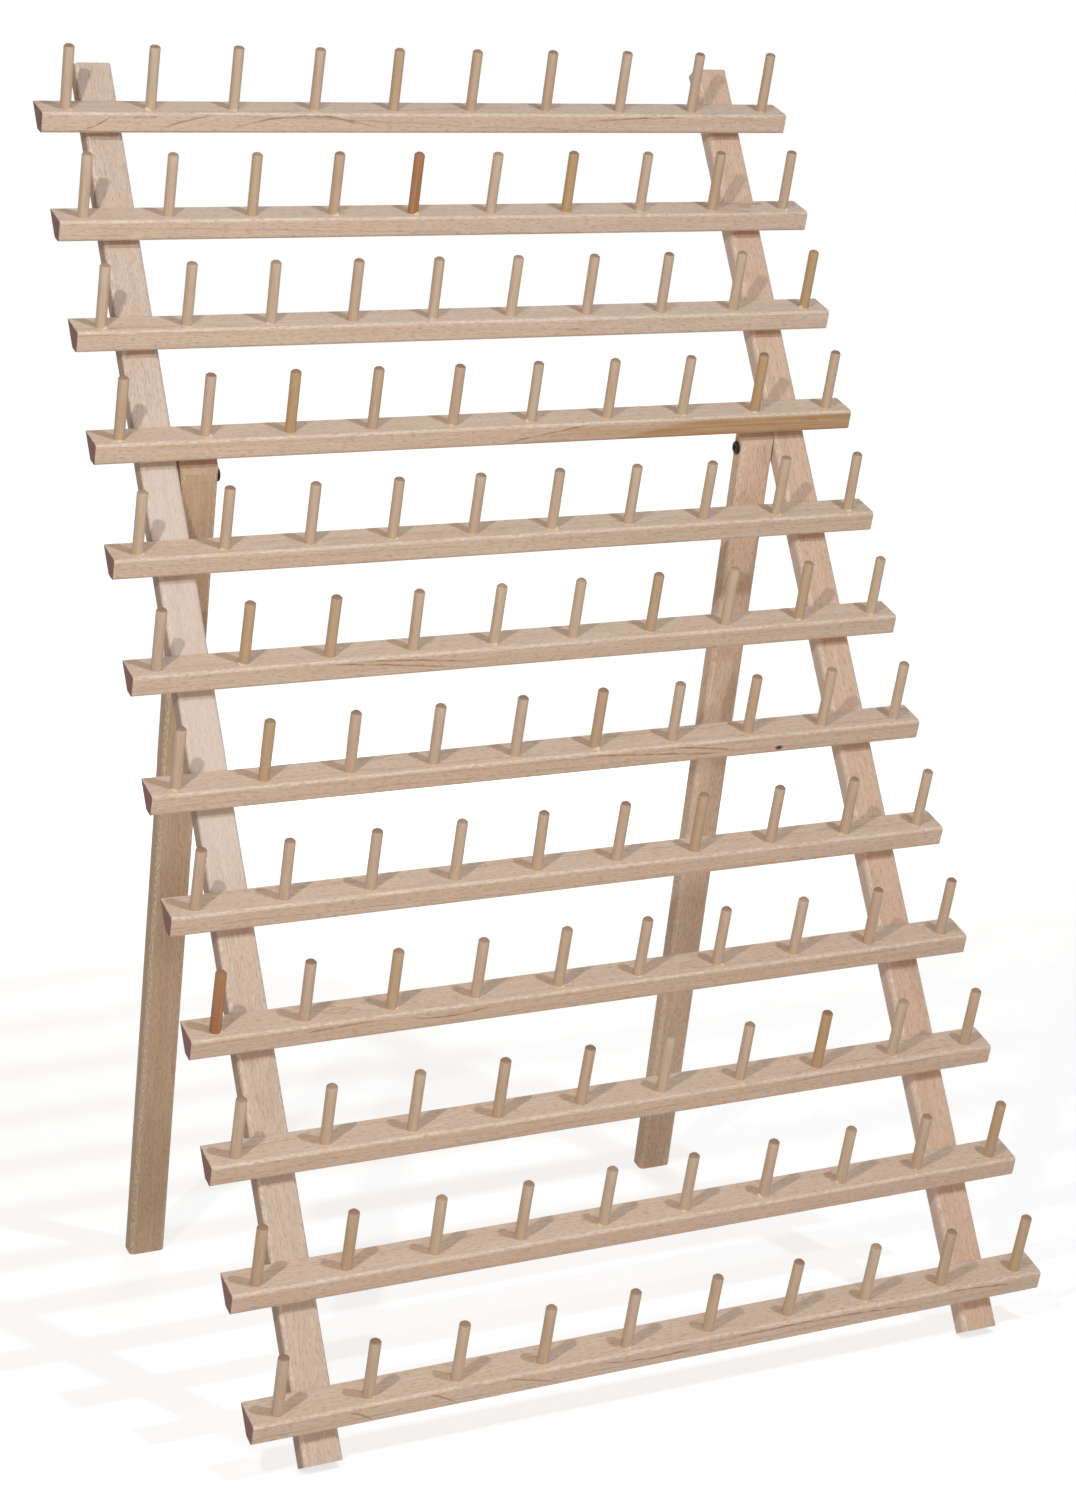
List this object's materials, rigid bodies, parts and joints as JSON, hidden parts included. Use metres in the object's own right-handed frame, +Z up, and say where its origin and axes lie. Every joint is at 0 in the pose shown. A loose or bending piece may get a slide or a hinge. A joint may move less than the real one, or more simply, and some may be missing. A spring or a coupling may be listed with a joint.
{
  "type": "thread rack",
  "caption": "Standing wooden thread rack: bevelled rails with tilted dowel pegs for spools on two leaning stiles, propped by two legs that fold flat behind it.",
  "frame": {"origin": "on the floor, under the middle of the open rack's bounding box", "axes": "+X along the rails to the viewer's right, +Y from the pegs to the back, +Z up"},
  "size_m": [0.3656, 0.3044, 0.5658],
  "materials": {
    "stile_wood": "sanded pale hardwood, unvarnished",
    "rail_wood": "sanded pale hardwood, unvarnished, with eased edges",
    "peg_wood": "plain birch dowel, a little more golden than the rails",
    "leg_wood": "sanded hardwood, a little browner than the stiles",
    "pivot_screw_black": "black oxide",
    "rail_screw_zinc": "zinc plated"
  },
  "bodies": {
    "rack": {"left_stile": "stile_wood", "right_stile": "stile_wood", "rail_01": "rail_wood", "rail_02": "rail_wood", "rail_03": "rail_wood", "rail_04": "rail_wood", "rail_05": "rail_wood", "rail_06": "rail_wood", "rail_07": "rail_wood", "rail_08": "rail_wood", "rail_09": "rail_wood", "rail_10": "rail_wood", "rail_11": "rail_wood", "rail_12": "rail_wood", "pegs_row_01": "peg_wood", "pegs_row_02": "peg_wood", "pegs_row_03": "peg_wood", "pegs_row_04": "peg_wood", "pegs_row_05": "peg_wood", "pegs_row_06": "peg_wood", "pegs_row_07": "peg_wood", "pegs_row_08": "peg_wood", "pegs_row_09": "peg_wood", "pegs_row_10": "peg_wood", "pegs_row_11": "peg_wood", "pegs_row_12": "peg_wood", "left_pivot_screw": "pivot_screw_black", "right_pivot_screw": "pivot_screw_black", "rail_screws_left": "rail_screw_zinc", "rail_screws_right": "rail_screw_zinc"},
    "left_leg": {"left_leg": "leg_wood"},
    "right_leg": {"right_leg": "leg_wood"}
  },
  "joints": [
    {"name": "left_leg_fold", "type": "hinge", "parent": "rack", "child": "left_leg", "pos_m": [-0.1359, 0.031, 0.38138], "axis": [-1, 0, 0], "range_deg": [0, 41]},
    {"name": "right_leg_fold", "type": "hinge", "parent": "rack", "child": "right_leg", "pos_m": [0.1359, 0.031, 0.38138], "axis": [-1, 0, 0], "range_deg": [0, 41]}
  ]
}
